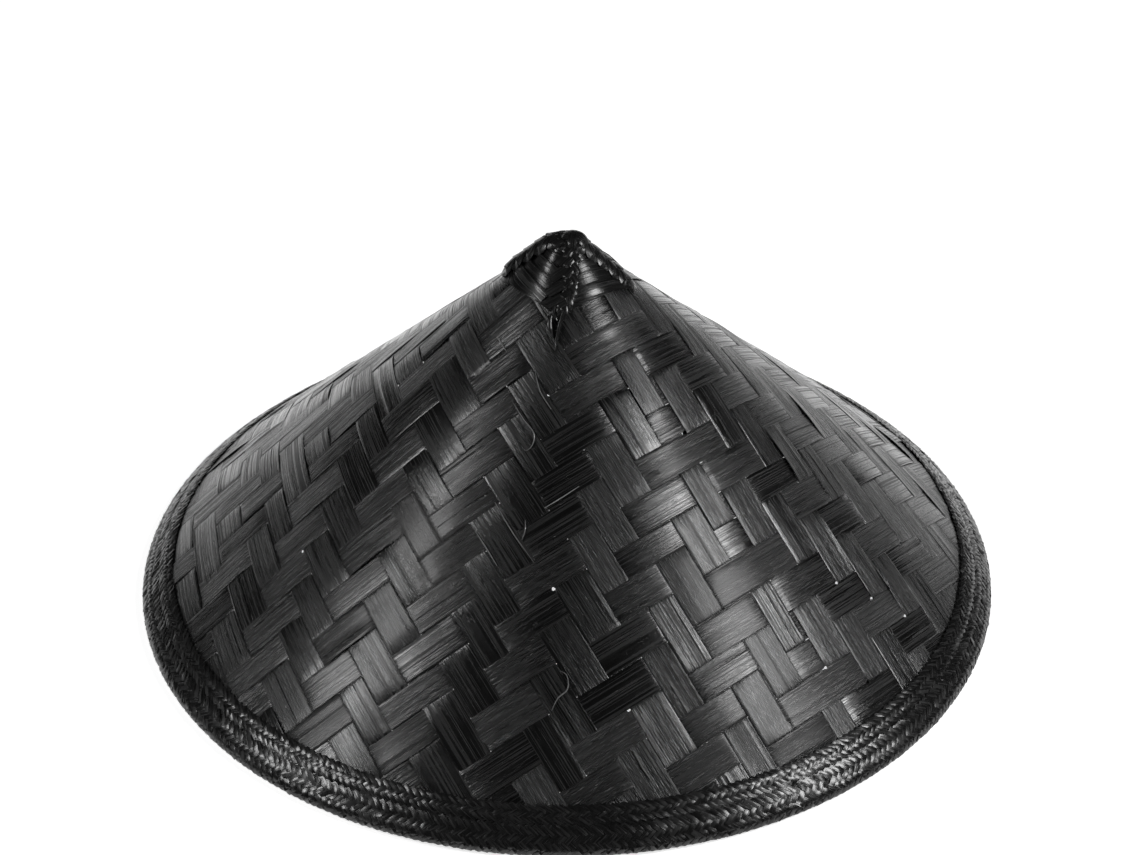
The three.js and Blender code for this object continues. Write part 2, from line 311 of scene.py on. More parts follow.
def painted(name, dark, light, rough, rough_more, across=1.6, along=0.025, grain=0.5, lumps=0.3, worn=False, shine=0.55):
    """Black paint over split bamboo: fine lines along each strip, thin and thick places in the paint,
    a little difference between strips, and bare dull patches where tone's third number is high."""
    m, nt, p = nodes_of(name)
    lay, tone = attribute(nt, "lay"), split(nt, attribute(nt, "tone"))
    place = nt.nodes.new("ShaderNodeTexCoord").outputs["Object"]
    fine = noise(nt, vmaths(nt, "MULTIPLY", lay, (across, along, 7.3)), 1.0, 4.0, 0.62)
    broad = noise(nt, vmaths(nt, "MULTIPLY", lay, (across * 0.28, along * 0.6, 3.1)), 1.0, 2.0, 0.5)
    paint = noise(nt, place, 420.0, 3.0, 0.6)
    cloud = noise(nt, place, 45.0, 2.0, 0.5)
    lines = spread(nt, fine, 0.41, 0.59)
    base = mixed(nt, maths(nt, "MULTIPLY", lines, maths(nt, "ADD", tone[0], 0.25), clamp=True), grey(dark), grey(light))
    r = maths(nt, "MULTIPLY_ADD", lines, rough_more, rough - rough_more * 0.5)
    r = maths(nt, "MULTIPLY_ADD", tone[1], 0.08, r)
    r = maths(nt, "MULTIPLY_ADD", spread(nt, cloud, 0.35, 0.7), 0.05, r)
    ribbed = maths(nt, "MULTIPLY_ADD", maths(nt, "MULTIPLY", tone[1], tone[1]), 1.5, 0.35)
    height = maths(nt, "MULTIPLY", maths(nt, "MULTIPLY_ADD", broad, 0.8, fine), ribbed)
    thread = spread(nt, noise(nt, vmaths(nt, "MULTIPLY", lay, (across * 0.85, along * 0.3, 5.7)), 1.0, 2.0, 0.5), 0.55, 0.575)
    base = mixed(nt, maths(nt, "MULTIPLY", thread, 0.8), base, grey(dark * 0.3))
    r = maths(nt, "MULTIPLY_ADD", thread, 0.3, r)
    normal = bumped(nt, height, grain, 0.0005)
    normal = bumped(nt, maths(nt, "MULTIPLY", thread, ribbed), min(1.0, grain * 1.6), -0.0003, normal)
    normal = bumped(nt, paint, lumps, 0.00025, normal)
    if worn:
        crease = noise(nt, place, 260.0, 5.0, 0.75, 1.2)
        bare = spread(nt, maths(nt, "MULTIPLY", tone[2], crease), 0.2, 0.38)
        base = mixed(nt, bare, base, grey(0.028, 0.02))
        r = maths(nt, "MULTIPLY_ADD", bare, 0.06, r)
        wrinkle = maths(nt, "MULTIPLY", noise(nt, place, 430.0, 3.0, 0.6, 1.6), tone[2])
        normal = bumped(nt, wrinkle, 0.85, 0.0009, normal)
    put(p.inputs["Base Color"], base, nt)
    put(p.inputs["Roughness"], r, nt)
    put(p.inputs["Normal"], normal, nt)
    p.inputs["Specular IOR Level"].default_value = shine
    p.inputs["Coat Weight"].default_value = shine * 0.45
    p.inputs["Coat Roughness"].default_value = 0.22
    p.inputs["Anisotropic"].default_value = 0.35
    put(p.inputs["Tangent"], attribute(nt, "cross"), nt)
    return m


STRIPS = painted("painted_strips", 0.003, 0.007, 0.18, 0.10, across=1.9, grain=0.75, worn=True)
BRAID = painted("painted_braid", 0.006, 0.013, 0.19, 0.06, across=1.2, along=0.10, grain=0.15, lumps=0.12, shine=0.42)
INNER = painted("painted_inner", 0.006, 0.02, 0.38, 0.16, across=1.8, along=0.03)
HOOP = painted("painted_hoop", 0.008, 0.026, 0.26, 0.12, across=1.4, along=0.02, grain=0.3)
# the loose fibres' pale colour is a painted highlight, standing in for the light they catch
FIBRE_PAINTED_HIGHLIGHT = painted("fibre_painted_highlight", 0.10, 0.22, 0.25, 0.06, grain=0.2)
CAP = painted("painted_cap", 0.008, 0.014, 0.19, 0.08, across=1.4, along=0.04, grain=0.35, lumps=0.15, shine=0.3)


def cord_material():
    m, nt, p = nodes_of("black_cord")
    lay = attribute(nt, "lay")
    thread = noise(nt, vmaths(nt, "MULTIPLY", lay, (2.4, 1.6, 1.0)), 1.0, 4.0, 0.6)
    put(p.inputs["Base Color"], mixed(nt, thread, grey(0.006), grey(0.024)), nt)
    put(p.inputs["Roughness"], spread(nt, thread, 0.3, 0.7, 0.62, 0.86), nt)
    put(p.inputs["Normal"], bumped(nt, thread, 0.5, 0.0002), nt)
    p.inputs["Sheen Weight"].default_value = 0.15
    p.inputs["Sheen Roughness"].default_value = 0.5
    return m


def bead_material():
    m, nt, p = nodes_of("black_bead")
    place = nt.nodes.new("ShaderNodeTexCoord").outputs["Object"]
    cloud = noise(nt, place, 500.0, 3.0, 0.6)
    put(p.inputs["Base Color"], mixed(nt, cloud, grey(0.006), grey(0.015)), nt)
    put(p.inputs["Roughness"], spread(nt, cloud, 0.3, 0.7, 0.3, 0.46), nt)
    put(p.inputs["Normal"], bumped(nt, cloud, 0.2, 0.0002), nt)
    return m


CORD, BEAD = cord_material(), bead_material()

# =============================================================== chin cord
CORD_D = 2.5
STRAND = [
    [-177.3, 1.0, 7.3], [-172.0, 3.5, 4.6], [-165.0, 9.0, 2.2], [-156.5, 18.5, 1.5], [-146.5, 35.0, 1.5],
    [-133.5, 55.0, 1.5], [-117.0, 74.0, 1.5], [-98.0, 91.0, 1.5], [-76.5, 106.0, 1.5], [-54.0, 118.5, 1.5],
    [-34.0, 127.5, 1.5], [-19.0, 131.0, 1.9], [-8.5, 128.0, 3.2], [-3.6, 120.5, 5.6], [-2.0, 111.4, 7.2],
]
LOOP = [
    [-1.9, 96.6, 7.2], [-2.6, 89.0, 5.2], [-4.4, 80.0, 2.7], [-6.8, 68.0, 1.6], [-10.0, 52.0, 1.5],
    [-13.8, 33.0, 1.5], [-17.2, 14.0, 1.5], [-18.6, 1.0, 1.5], [-16.0, -10.5, 1.5], [-9.0, -17.2, 1.5], [0, -19.0, 1.5],
]
across = lambda p: [-p[0], p[1], p[2]]
plait_relief = lambda a, s: 0.955 + 0.05 * np.cos(4 * a + s * 1.9) * np.cos(4 * a - s * 1.9)

cords = {}
for name, points in (
    ("chin_cord_left", STRAND),
    ("chin_cord_right", [across(p) for p in STRAND]),
    ("chin_cord_loop", LOOP + [across(p) for p in LOOP[:-1]][::-1]),
):
    path = evenly(catmull(points, 24), 0.55)
    skin = Skin()
    tube(skin, path, CORD_D / 2, 16, (0.5, 0.5, 0), relief=plait_relief)
    cords[name] = (skin.build(name, CORD), path)
for name, node in (("chin_cord_left", "cord_left"), ("chin_cord_right", "cord_right"), ("chin_cord_loop", "cord_loop")):
    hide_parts(node)

knots = {}
for name, node, side in (("chin_cord_knot_left", "cord_knot_left", -1), ("chin_cord_knot_right", "cord_knot_right", 1)):
    t = np.linspace(0, 2 * np.pi, 120, endpoint=False)
    path = np.stack([-np.sin(3 * t) * 1.5, np.sin(t) + 2 * np.sin(2 * t), np.cos(t) - 2 * np.cos(2 * t)], -1) * (0.72, 0.68, 0.68)
    skin = Skin()
    tube(skin, path + (side * 180.6, 0, 8.7), 1.15, 12, (0.5, 0.5, 0), loop=True, up=(1, 0, 0),
         relief=lambda a, s: 0.96 + 0.05 * np.cos(3 * a + s * 2))
    knots[side] = skin.build(name, CORD, replaces=(node,))

# the bead: a ribbed ball with a dimple at each end of its bore, which runs along the cord
u = np.linspace(0, 2 * np.pi, 84, endpoint=False)
v = np.linspace(0.16, np.pi - 0.16, 34)
rib = 1 - 0.075 * (1 - np.abs(np.cos(6 * u[:, None] + 0.9 * np.cos(v)[None]))) ** 1.4
rr = 7.0 * rib * np.sin(v) ** 0.9
ring = np.stack([rr * np.cos(u)[:, None], np.broadcast_to(-6.9 * np.cos(v), rr.shape), rr * np.sin(u)[:, None]], -1)
hole = np.stack([1.9 * np.cos(u), 0 * u, 1.9 * np.sin(u)], -1)
tunnel = [hole + (0, y, 0) for y in (6.0, 2.0, -2.0, -6.0)]
ring = np.concatenate([ring, np.stack(tunnel, 1)], 1) + (0, 104, 7.3)
skin = Skin()
skin.add(ring, (0, 0, 0), (0.5, 0.5, 0), loop=True)
bead = skin.build("chin_cord_bead", BEAD, sharp=50, replaces=("cord_bead",))

for name, end, pieces in (
    ("chin_cord_left", "fitting", [knots[-1], bead]),
    ("chin_cord_right", "fitting", [knots[1]]),
    ("chin_cord_loop", "object", []),
):
    ob, path = cords[name]

# =============================================================== the plaited cone
PITCH = 14.53
AXES = (-58.5, 31.5, 121.5)       # unrolled directions that the three sets of strips lie square to
SHIFT = (-1.25, -1.25, 1.25)      # where each set's first gap lies, from the apex
COUNT = 18
STRIP_T = 0.36
CENTRE = -0.52                    # middle of the wall
WEAVE_H = 0.21                    # each layer lies this far to either side of it
DIVE = 0.7                        # a strip goes down just past the edge of the one that covers it
EDGE_IN = 1.7                     # strips end this far inside the cone's edge, under the outer braid
TOP = 12                          # points across the top of a strip
SLACK = 0.14                      # half the gap between neighbours

# how far each gap lies from an even pitch, from the apex out: no two strips are split alike
UNEVEN = (
    (0, -0.8, 0.0, 1.6, 0.4, -1.2, 0.5, 1.5, 0.6, -1.0, -0.3, 0.4, 1.6, -0.5, -1.4, -0.1, 0.5, 0.2, 0),
    (0, -0.8, 0.6, 1.8, 0.9, 1.2, 0.4, 0.4, 0.5, 0.9, -0.8, -0.9, 0.8, 1.9, 1.1, 0.9, 1.0, 0.3, 0),
    (0, 1.4, 1.3, 0.8, -0.6, -1.7, -0.5, 1.6, 0.3, -0.7, 0.6, -0.2, 0.9, -0.8, 0.2, 0.7, -0.4, 0.3, 0),
)
edges = [[SHIFT[k] + n * PITCH + UNEVEN[k][n] for n in range(COUNT + 1)] for k in range(3)]


def over(axis, m, other, mo):
    """Whether strip m of one axis lies over strip mo of another where they cross."""
    if other == (axis + 1) % 3:
        return (mo - m) % 4 in (0, 1)
    return (m - mo) % 4 not in (0, 1)


# pinholes where four edges meet: an axis, which of its gaps, and which gap of the next axis
LONG_HOLE = (1, 7, 0)
PINHOLES = (LONG_HOLE, (0, 12, 3), (1, 13, 6), (0, 10, 5), (1, 13, 2), (1, 14, 4), (0, 6, 9), (1, 14, 3), (0, 4, 11),
            (1, 15, 4), (1, 15, 0), (1, 16, 1), (0, 6, 13), (0, 3, 4), (2, 1, 14))

# worn and wrinkled places: unrolled x, y, reach and depth
WORN = [(-63, 128, 15, 1.0), (-56, 150, 11, 0.9), (-72, 112, 9, 0.7), (-50, 117, 8, 0.7), (-66, 165, 10, 0.5),
        (-95, 176, 9, 0.4), (-44, 96, 6, 0.5), (70, 214, 8, 0.6), (-84, 140, 8, 0.5)]


def wear(x, y):
    w = 0 * x
    for cx, cy, s, d in WORN:
        w = np.maximum(w, d * np.exp(-((x - cx) ** 2 + (y - cy) ** 2) / (2 * s * s)))
    return w


smooth = lambda t: (lambda c: c * c * (3 - 2 * c))(np.clip(t, 0, 1))


def outer_strip(skin, axis, m, cross_edges, cross_over, half, number):
    """Strip m of an axis: the edges of what it crosses and which of those it covers.
    cross_edges has one more entry than cross_over, from end to end."""
    phi = math.radians(AXES[axis])
    axis_dir = np.array([math.sin(phi), math.cos(phi)])
    t_dir = np.array([math.cos(phi), -math.sin(phi)])           # towards the next axis
    d_in, d_out = max(edges[axis][m - 1], 0.5) + SLACK, edges[axis][m] - SLACK
    middle = (d_in + d_out) / 2
    w = d_out - d_in
    w_lo, w_hi = -w / 2, w / 2                                  # across, towards the apex
    origin, side = middle * axis_dir, -axis_dir
    lo, hi = -half, half

    # places along the strip: close together where it dives under, wide apart where it lies flat
    g = np.asarray(cross_edges, float)
    s = np.where(cross_over, 1.0, -1.0)
    xs = [lo, hi]
    for i in range(len(s)):
        a, b = g[i], g[i + 1]
        xs += [a + (b - a) * q for q in (0.32, 0.5, 0.68)]
        if i and s[i] != s[i - 1]:
            xs += [a + DIVE * (s[i - 1] - s[i]) / 2 + q for q in (-1.7, -0.85, 0, 0.85, 1.7)]
        else:
            xs.append(a)
    notches = []                                                # where an edge draws back, and which edge
    for ha, na, nb in PINHOLES:
        hb = (ha + 1) % 3
        for here, n, at in ((ha, na, edges[hb][nb]), (hb, nb, -edges[ha][na])):
            if axis == here and n in (m, m - 1):
                notches.append((at, n == m, 1.9 if (ha, na, nb) == LONG_HOLE and here == ha else 0.65))
                xs += [at + q for q in (-1.2, -0.4, 0.4, 1.2)]
    x = np.unique(np.round([v for v in xs if lo <= v <= hi], 3))
    x = x[np.concatenate([[True], np.diff(x) > 0.35])]
    k = len(x)

    # floats: runs of crossings that this strip covers
    mid = np.full(k, s[0] * WEAVE_H)
    for i in range(1, len(s)):
        mid = mid + (s[i] - s[i - 1]) * WEAVE_H * smooth((x - g[i] - DIVE * (s[i - 1] - s[i]) / 2) / 3.4 + 0.5)
    runs, i = [], 0
    while i < len(s):
        j = i
        while j < len(s) and s[j] == s[i]:
            j += 1
        if s[i] > 0:
            runs.append((g[i], g[j]))
        i = j
    if not runs:
        runs = [(lo, hi)]
    mids = np.array([(a + b) / 2 for a, b in runs])
    which = np.abs(x[:, None] - mids[None]).argmin(1)
    f = len(runs)
    strip_ribs = rng.choice([0.25, 0.6, 1.0], p=[0.35, 0.35, 0.3])
    bow = np.where(rng.random(f) < 0.12, rng.uniform(0.25, 0.5, f), rng.uniform(0.0, 0.15, f))
    tilt = rng.normal(0, 0.02, f)
    pitch = rng.normal(0, 0.009, f)
    ribs = np.clip(strip_ribs * rng.uniform(0.5, 1.5, f), 0.1, 1.3)
    slit = np.where(rng.random(f) < 0.2, rng.uniform(0.5, 1.0, f), 0.0)
    curl = np.where(rng.random(f) < 0.16, rng.uniform(0.25, 0.75, f), 0.0) * rng.choice([-1, 1], f)
    one, two = rng.uniform(0, 1, f), rng.uniform(0, 1, f)
    at = np.array([(xx - runs[q][0]) / (runs[q][1] - runs[q][0]) for xx, q in zip(x, which)])
    hump = np.sin(np.pi * np.clip(at, 0, 1))
    mid = mid + bow[which] * hump + pitch[which] * (x - mids[which]) * smooth(hump * 2)

    # section: a coarse back, and a finely grooved face
    q = np.sort(rng.uniform(0, 1, TOP - 5))
    q = 0.5 * q + 0.5 * np.linspace(0.06, 0.94, TOP - 5)
    split_at = rng.uniform(0.2, 0.8)
    q = np.sort(np.concatenate([q, [split_at - 0.018, split_at, split_at + 0.018], [0.018, 0.982]]))
    face = w_lo + w * q
    depth = -np.abs(rng.normal(0, 0.075, TOP))
    depth[[0, -1]] = 0
    is_slit = np.isclose(q, split_at)
    near = np.abs(q - split_at) < 0.02
    depth[near] = 0
    back_c = w_lo + w * np.array([0, 0.33, 0.67, 1.0])
    cc = np.concatenate([back_c, [w_hi], face[::-1], [w_lo]])
    base_h = np.concatenate([np.full(4, -STRIP_T / 2), [STRIP_T / 2 - 0.12], np.full(TOP, STRIP_T / 2), [STRIP_T / 2 - 0.12]])
    groove = np.concatenate([np.zeros(5), depth[::-1], [0]])
    gash = np.concatenate([np.zeros(5), np.where(is_slit, -0.95, 0)[::-1], [0]])
    open_ = slit[which] * smooth(hump * 3 - 0.6)
    lift = np.clip(np.sign(curl[which])[:, None] * cc[None] / (w / 2), 0, 1) ** 2 * np.abs(curl[which] * hump**0.7)[:, None]
    h = (mid[:, None] + base_h[None] + groove[None] * ribs[which][:, None] + gash[None] * open_[:, None]
         + tilt[which][:, None] * cc[None] * smooth(hump * 2)[:, None] + lift)

    lo_k, hi_k = np.full(k, w_lo), np.full(k, w_hi)
    for at_x, outer, wide in notches:
        dent = 0.66 * np.exp(-((x - at_x) / wide) ** 2)
        lo_k, hi_k = (lo_k + dent, hi_k) if outer else (lo_k, hi_k - dent)
    cc = lo_k[:, None] + (cc - w_lo)[None] * ((hi_k - lo_k) / w)[:, None]

    # each point of the section stops at the cone's edge
    off = middle - cc
    far = np.sqrt(np.maximum((SLANT - EDGE_IN) ** 2 - off**2, 1.0))
    step = np.arange(k)
    xx = np.minimum(x[:, None], far - (k - 1 - step)[:, None] * 0.02)
    xx = np.maximum(xx, -far + step[:, None] * 0.02)
    px = origin[0] + t_dir[0] * xx + side[0] * cc
    py = origin[1] + t_dir[1] * xx + side[1] * cc
    rings = on_cone(px, py, CENTRE + h, phi)
    lay = np.stack(np.broadcast_arrays(cc, xx + 37.0 * number, number), -1)
    tone = np.stack([np.broadcast_to(one[which][:, None], px.shape), np.broadcast_to(two[which][:, None], px.shape), wear(px, py)], -1)
    skin.add(rings, lay, tone)


for axis in range(3):
    skin = Skin()
    after, before = (axis + 1) % 3, (axis + 2) % 3
    for m in range(1, COUNT + 1):
        half = math.sqrt(max((SLANT - EDGE_IN) ** 2 - max(edges[axis][m - 1], 0) ** 2, 400))
        right = [i for i in range(1, COUNT + 1) if edges[after][i - 1] < half]
        left = [i for i in range(1, COUNT + 1) if edges[before][i - 1] < half]
        cross = [-edges[before][i] for i in left[::-1]] + [(SHIFT[after] - SHIFT[before]) / 2] + [edges[after][i] for i in right]
        flags = [over(axis, m, before, i) for i in left[::-1]] + [over(axis, m, after, i) for i in right]
        outer_strip(skin, axis, m, cross, flags, half, axis * 20.0 + m)
    skin.build(f"outer_strips_{'abc'[axis]}", STRIPS, replaces=("cone_shell",))

# loose fibres and splinters caught in the paint, in unrolled places, each from end to end; their pale colour is a
# painted highlight for the light they catch
FIBRES = (
    ((-23.1, 74.5), (-18.3, 82.7), (-13.5, 89.9), (-14.9, 95.2), (-17.4, 96.7), (-19.0, 94.4)),
    ((-30.4, 118.6), (-22.8, 131.8), (-13.7, 145.2)),
    ((-38.8, 130.7), (-33.8, 138.5), (-29.4, 145.9)),
    ((-9.3, 121.9), (-2.3, 117.7), (5.3, 112.6)),
    ((-17.4, 126.9), (-17.4, 131.1), (-18.9, 135.4)),
    ((-2.9, 190.8), (-0.4, 192.5), (0.1, 198.2), (-4.0, 202.2), (-6.5, 207.1)),
    ((26.9, 223.4), (30.2, 229.8), (34.0, 235.5)),
    ((-31.0, 43.9), (-28.4, 47.9), (-26.2, 51.5)),
    ((-13.1, 61.9), (-11.0, 70.8), (-6.3, 78.8)),
)
skin = Skin()
for q, points in enumerate(FIBRES):
    line = evenly(catmull([np.array(c, float) for c in points], 10), 0.9)
    t = np.linspace(0, 1, len(line))
    strand(skin, line, 0.3 + 0.25 * np.sin(np.pi * t), 0.22 + 0.26 * np.sin(np.pi * t), 0.26, on_cone, (1.0, 0.1, 0), number=200 + q, bulge=0.3)
skin.build("loose_fibres", FIBRE_PAINTED_HIGHLIGHT, replaces=("cone_shell",))

# =============================================================== rim: plaits of narrow strips
RIM_R = 195.0
SMOOTH_SPAN = 1.5


def braid_line():
    """The middle of the outer braid's thickness, from its inner edge over the hat's edge to its foot."""
    n0 = 1.15
    pts = [(19.3, 0.1), (17.8, 0.55), (15.6, 0.9), (13.0, n0), (1.5, n0)]
    pts = [(EDGE_R - s * COS + n * SIN, EDGE_Z + s * SIN + n * COS) for s, n in pts]
    pts += [(199.0, 4.0), (199.3, 2.8), (199.1, 1.7), (198.4, 1.05), (197.3, 0.75), (196.3, 0.85), (195.9, 1.4)]
    p = np.array(pts)
    d = np.concatenate([[0], np.cumsum(np.linalg.norm(np.diff(p, axis=0), axis=1))])
    at = np.linspace(0, d[-1], 120)
    line = np.stack([np.interp(at, d, p[:, i]) for i in range(2)], -1)
    kernel = np.ones(9) / 9
    padded = np.pad(line, ((4, 4), (0, 0)), mode="edge")
    line2 = np.stack([np.convolve(padded[:, i], kernel, "valid") for i in range(2)], -1)
    line2[:3], line2[-3:] = line[:3], line[-3:]
    t = unit(np.gradient(line2, axis=0))
    normal = np.stack([-t[:, 1], t[:, 0]], -1)
    return at, line2, normal


B_AT, B_LINE, B_NORMAL = braid_line()
B_SPAN = B_AT[-1]
if B_NORMAL[5] @ np.array([SIN, COS]) < 0:
    B_NORMAL = -B_NORMAL


def on_rim(u, v, n):
    u, v, n = np.broadcast_arrays(u, np.clip(v, 0, B_SPAN), n)
    r = np.interp(v, B_AT, B_LINE[:, 0]) + n * np.interp(v, B_AT, B_NORMAL[:, 0])
    z = np.interp(v, B_AT, B_LINE[:, 1]) + n * np.interp(v, B_AT, B_NORMAL[:, 1])
    a = u / RIM_R
    return np.stack([r * np.sin(a), -r * np.cos(a), np.maximum(z, 0.05)], -1)


def plait(skin, strands, rows, periods, v0, wide, place, width, thick, lift, dome, seed, tone2=0.5):
    """A flat plait of that many strands that closes round the rim. v0 and wide are the span of the strands' middles."""
    r = np.random.default_rng(seed)
    around = 2 * math.pi * RIM_R
    period = around / periods
    per = 2 * strands
    j = np.arange(periods * per)
    phase = j / per
    cycle = (j % per) / per
    tri = np.where(cycle < 0.5, cycle * 2, 2 - cycle * 2)
    turn = np.minimum(np.abs(tri), np.abs(1 - tri))
    step = j % per
    up_h = np.zeros(2 * strands)      # over or under at each crossing of one period: a herringbone
    for q in range(1, strands):
        up_h[q] = rows[q - 1]
        up_h[2 * strands - q] = -rows[q - 1]
    h = up_h[step]
    for k in range(strands):
        wob = r.normal(0, 0.10, len(j))
        wob = (wob + np.roll(wob, 1) + np.roll(wob, -1)) / 3 * 1.6
        u = (phase - k / strands) * period
        v = v0 + wide * tri + wob
        d = dome * (1 - ((v - v0 - wide / 2) / (wide / 2 + width / 2)) ** 2)
        sag = r.uniform(0.75, 1.25, periods)[(j // per)]
        shade = np.repeat(r.uniform(0, 1, len(j) // 2 + 1), 2)[: len(j), None]
        xy = np.stack([u, v], -1)
        # a closed strand: its direction is worked out across the join
        t = np.stack([np.roll(u, -1) - np.roll(u, 1), np.roll(v, -1) - np.roll(v, 1)], -1)
        t[0, 0] += around
        t[-1, 0] += around
        t = unit(t)
        side = np.stack([t[:, 1], -t[:, 0]], -1)
        c = width * np.array([-0.5, 0.5, 0.5, 0.22, -0.22, -0.5]) * (1 - 0.12 * (turn < 0.04))[:, None]
        hh = np.array([-0.5, -0.5, 0.42, 0.56, 0.56, 0.42]) * thick + r.normal(0, 0.13, (len(j), 1)) * c
        tone = np.stack(np.broadcast_arrays(shade, tone2 + 0 * c, 0.0), -1)
        at = xy[:, None] + side[:, None] * c[..., None]
        rings = place(at[..., 0], at[..., 1], (d + lift * h * sag)[:, None] + hh)
        lay = np.stack(np.broadcast_arrays(c, (j * period / per)[:, None] * 1.4 + 100 * k, float(k)), -1)
        skin.add(rings, lay, tone, loop=True)


skin = Skin()
plait(skin, 7, (1, 1, -1, -1, 1, 1), 51, 1.0, 7.4, on_rim, 2.0, 0.34, 0.17, 0.2, 3)
V = np.array([24.0, 22.5, 21, 19.5, 18, 12, 6, 0.9])
az = 2 * np.pi * np.arange(240) / 240
vv = np.concatenate([V, V[::-1]])
nn = np.repeat([-0.5, -0.1], len(V))
skin.add(on_rim((az * RIM_R)[:, None], vv[None], nn[None]), (0, 0, 0), (0.1, 0.5, 0), loop=True)   # its under layer
skin.build("rim_braid_upper", BRAID, replaces=("rim_braid_outer",))
skin = Skin()
plait(skin, 9, (1, 1, -1, -1, 1, 1, -1, -1), 41, 9.4, 13.6, on_rim, 2.4, 0.36, 0.18, 0.2, 4)
skin.build("rim_braid_lower", BRAID, replaces=("rim_braid_outer",))


def on_inner_rim(u, v, n):
    """v up the slant from the edge, n out of the inner face, towards the head."""
    m = INSIDE - 1.05 - n
    a = -u / RIM_R
    r = EDGE_R - v * COS + m * SIN
    z = EDGE_Z + v * SIN + m * COS
    return np.stack([r * np.sin(a), -r * np.cos(a), z], -1)


def on_inner_rim_down(u, v, n):
    return on_inner_rim(u, 26.1 - v, n)


skin = Skin()
plait(skin, 7, (1, 1, -1, -1, 1, 1), 48, 8.8, 8.4, on_inner_rim_down, 1.95, 0.36, 0.22, 0.35, 5)
skin.build("rim_braid_inside", BRAID, replaces=("rim_braid_inner",))

# smooth hoop just inside the edge, its ends lapped at the left
k = 360
az = 2 * np.pi * np.arange(k) / k
S = np.array([1.9, 3.3, 6.1, 7.4, 7.5, 7.4, 1.9, 1.8])
N = np.array([-1.35, -2.2, -2.2, -1.5, -0.8, -0.05, -0.05, -0.7])
wavy = 0.12 * np.sin(5 * az + 1) + 0.08 * np.sin(13 * az)
lap = 0.55 * np.exp(-(((az - 4.45) % (2 * np.pi)) / 0.09) ** 2)
s_ = S[None] + wavy[:, None]
n_ = INSIDE + N[None] * (1 + lap[:, None] * 0.5)
# the ring runs against the sweep's own sense, so it is listed from its last point
r_ = EDGE_R - s_ * COS + n_ * SIN
z_ = EDGE_Z + s_ * SIN + n_ * COS
rings = np.stack([r_ * np.sin(az)[:, None], -r_ * np.cos(az)[:, None], np.maximum(z_, 0.3)], -1)
skin = Skin()
lay = np.stack(np.broadcast_arrays(s_, (az * 190)[:, None], 3.0), -1)
skin.add(rings, lay, (0.8, 0.2, 0), loop=True)
skin.build("edge_hoop", HOOP, replaces=("rim_hoop",))

# =============================================================== lattice inside
LATTICE_MID = INSIDE - 0.7
TURN = 1.2                        # the flat lattice's 300 degrees close round the cone


def on_lattice(x, y, n):
    rho, az = np.hypot(x, y), np.arctan2(y, x) * TURN
    return rho, az, n


skin = Skin()
for normal in (30, 90, 150, 210, 270):
    for row, d in enumerate((21.0, 63.0, 105.0, 147.0, 189.0, 231.0)):
        nrm = math.radians(normal)
        end = math.sqrt(248.5**2 - d**2)
        x = np.unique(np.round(np.concatenate([np.arange(-end, end, 3.0), [end]]), 3))
        # crossings with the sets of strips 60 degrees to either side and 120 degrees away
        cross = []
        for turn, sign in ((60, 1), (-60, -1), (120, -1), (-120, 1)):
            th = math.radians(turn)
            for d2 in (21.0, 63.0, 105.0, 147.0, 189.0, 231.0):
                at = (d2 - d * math.cos(th)) / math.sin(th)
                if abs(at) < end and math.hypot(at, d) < 247:
                    cross.append((at, sign))
        cross.sort()
        cross = [c for i, c in enumerate(cross) if i == 0 or c[0] - cross[i - 1][0] > 4]
        if cross:
            cx = np.array([c[0] for c in cross])
            cs = np.array([c[1] for c in cross], float)
            h = np.interp(x, cx, cs)
        else:
            h = 0 * x
        h = np.clip(h * 1.7, -1, 1) * 0.42
        centre = np.array([math.cos(nrm), math.sin(nrm)]) * d
        run = np.array([-math.sin(nrm), math.cos(nrm)])
        side = np.array([-run[1], run[0]])
        width = 7.3 + 0.5 * math.sin(row * 2.1 + normal)
        c = np.concatenate([np.array([-0.5, 0.5]), [0.5], np.linspace(0.42, -0.42, 6), [-0.5]]) * width
        hh = np.concatenate([[0.3, 0.3], [-0.16], -0.34 - 0.06 * rng.random(6), [-0.16]])
        # the strip's face looks inwards, so the section is turned over
        c = -c
        drift = 0.5 * np.sin(x / 37 + row + normal)
        px = centre[0] + run[0] * x[:, None] + side[0] * (c[None] + drift[:, None])
        py = centre[1] + run[1] * x[:, None] + side[1] * (c[None] + drift[:, None])
        rho = np.hypot(px, py)
        flat = np.arctan2(py, px)
        flat = nrm + (flat - nrm + np.pi) % (2 * np.pi) - np.pi
        az = flat * TURN
        n = LATTICE_MID + h[:, None] + hh[None]
        r = rho * COS + n * SIN
        rings = np.stack([r * np.sin(az), -r * np.cos(az), APEX_Z - rho * SIN + n * COS], -1)
        lay = np.stack(np.broadcast_arrays(c[None], (x + 50 * row + normal)[:, None], float(row + normal)), -1)
        skin.add(rings, lay, (rng.random(), rng.random(), 0))
skin.build("lattice_strips", INNER, replaces=("inner_lattice",))

# =============================================================== head ring
RING_R = 91.4
UNIT = 2 * math.pi * RING_R / 18
BAND_TOP = 92.0


def on_band(u, z, n):
    a = u / RING_R
    r = RING_R + n
    return np.stack([r * np.sin(a), -r * np.cos(a), z], -1)


